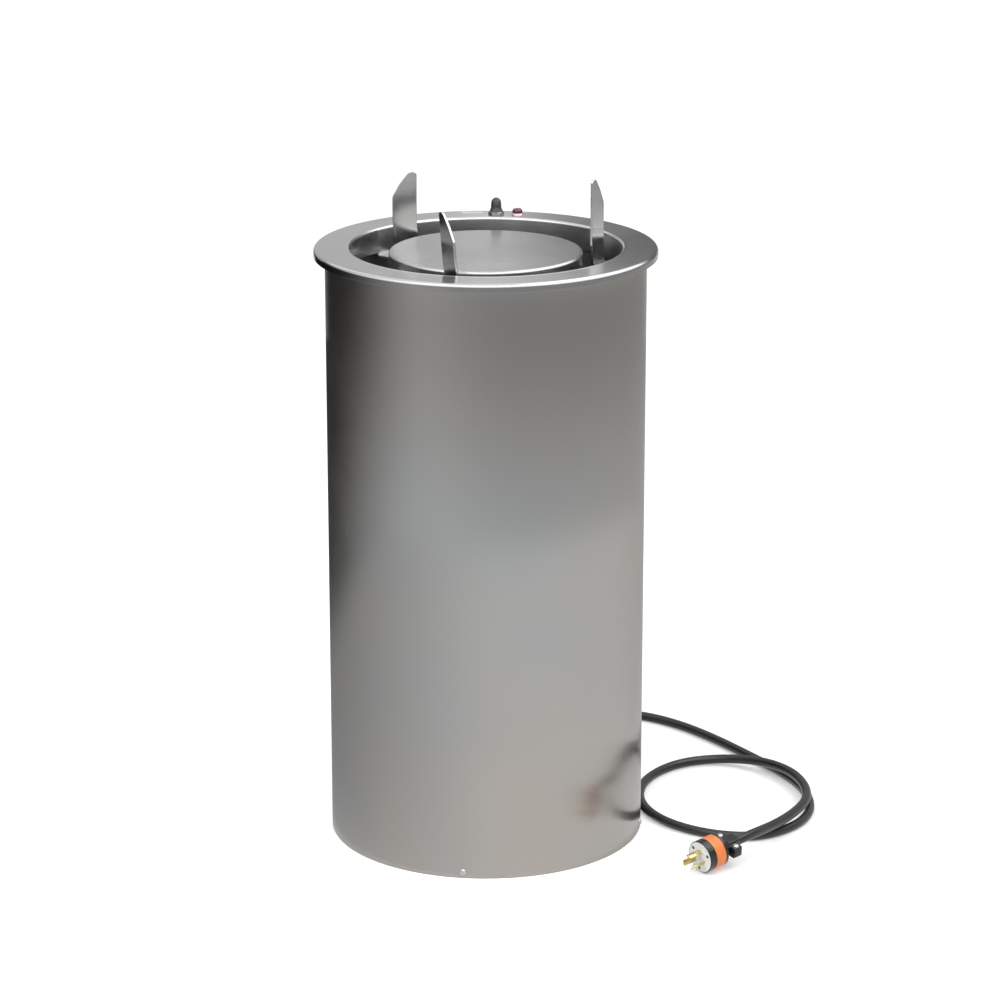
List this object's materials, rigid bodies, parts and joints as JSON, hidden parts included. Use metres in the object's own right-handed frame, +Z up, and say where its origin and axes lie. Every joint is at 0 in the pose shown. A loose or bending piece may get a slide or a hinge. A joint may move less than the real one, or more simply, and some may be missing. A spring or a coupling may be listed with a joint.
{
  "type": "heated plate dispenser",
  "caption": "Drop-in heated plate dispenser: a round insulated drum with a sprung self-levelling carrier, turning plate guides, a toggle switch, a pilot light and a cord with a locking plug.",
  "frame": {"origin": "centre of the drum's base, on the surface it stands on", "axes": "+Z up along the drum's axis, -Y towards the front as in the picture, +X to the right"},
  "size_m": [0.6132, 0.5779, 0.798],
  "materials": {
    "satin_stainless": "rolled stainless sheet, 2B finish rubbed to a satin",
    "brushed_stainless": "spun stainless with a fine circular grain",
    "aluminised_sheet": "aluminised steel sheet, dull",
    "zinc_plate": "bright zinc plate",
    "ground_rod": "ground and polished steel bar",
    "spring_steel": "drawn spring wire, lightly oiled",
    "white_nylon": "machined nylon",
    "black_rubber": "moulded black rubber",
    "cord_jacket": "extruded rubber jacket",
    "black_plastic": "moulded black nylon",
    "red_lens": "moulded red polycarbonate",
    "bezel_chrome": "chromed brass",
    "plug_black": "moulded black nylon, slightly glossy",
    "plug_white": "moulded white nylon",
    "plug_orange": "printed vinyl band",
    "plug_brass": "stamped brass",
    "phenolic": "moulded phenolic",
    "glass_fibre": "glass fibre blanket",
    "wire_sleeve": "braided glass sleeve",
    "element_sheath": "oxidised nickel alloy sheath"
  },
  "bodies": {
    "cabinet": {"top_flange": "brushed_stainless", "outer_shell": "satin_stainless", "inner_liner": "aluminised_sheet", "bottom_pan": "aluminised_sheet", "bottom_screws": "zinc_plate", "well_floor": "aluminised_sheet", "support_posts": "zinc_plate", "insulation_blanket": "glass_fibre", "heater_element": "element_sheath", "element_clips": "zinc_plate", "element_guard": "aluminised_sheet", "bumpers": "black_rubber", "slide_rods": "ground_rod", "rod_sockets": "zinc_plate", "spring_hangers": "zinc_plate", "lift_springs_1": "spring_steel", "lift_springs_2": "spring_steel", "lift_springs_3": "spring_steel", "guide_brackets": "zinc_plate", "guide_sockets": "zinc_plate", "switch_body": "phenolic", "boot_nut": "black_rubber", "pilot_bezel": "bezel_chrome", "pilot_body": "black_plastic", "pilot_lens": "red_lens", "terminal_block": "phenolic", "thermostat": "phenolic", "high_limit": "phenolic", "wiring_harness": "wire_sleeve", "cord_gland": "black_plastic", "gland_nut": "black_plastic", "strain_relief": "black_rubber", "plug_blades": "plug_brass", "plug_face": "plug_white", "plug_shell": "plug_black", "plug_band": "plug_orange", "plug_clamp": "plug_black", "plug_screws": "zinc_plate", "power_cord": "cord_jacket"},
    "carrier": {"carrier_disc": "satin_stainless", "carrier_column": "aluminised_sheet", "carrier_spider": "aluminised_sheet", "carrier_bolts": "zinc_plate", "carrier_bushes": "white_nylon"},
    "guide_1": {"guide_blade_1": "brushed_stainless", "guide_rod_1": "ground_rod"},
    "guide_2": {"guide_blade_2": "brushed_stainless", "guide_rod_2": "ground_rod"},
    "guide_3": {"guide_blade_3": "brushed_stainless", "guide_rod_3": "ground_rod"},
    "toggle": {"toggle_boot": "black_rubber"}
  },
  "joints": [
    {"name": "carrier_lift", "type": "slide", "parent": "cabinet", "child": "carrier", "axis": [0, 0, 1], "range_m": [-0.445, 0], "stiffness_N_per_m": 640, "springref_m": 0.04, "deforming": ["lift_springs_1", "lift_springs_2", "lift_springs_3"]},
    {"name": "guide_1_turn", "type": "hinge", "parent": "cabinet", "child": "guide_1", "pos_m": [0.14035, 0.04696, 0.69], "axis": [0, 0, 1], "range_deg": [-42, 45]},
    {"name": "guide_2_turn", "type": "hinge", "parent": "cabinet", "child": "guide_2", "pos_m": [-0.11084, 0.09807, 0.69], "axis": [0, 0, 1], "range_deg": [-42, 45]},
    {"name": "guide_3_turn", "type": "hinge", "parent": "cabinet", "child": "guide_3", "pos_m": [-0.02951, -0.14503, 0.69], "axis": [0, 0, 1], "range_deg": [-42, 45]},
    {"name": "toggle_tip", "type": "hinge", "parent": "cabinet", "child": "toggle", "pos_m": [0.012, 0.1811, 0.734], "axis": [1, 0, 0], "range_deg": [0, 20]}
  ]
}
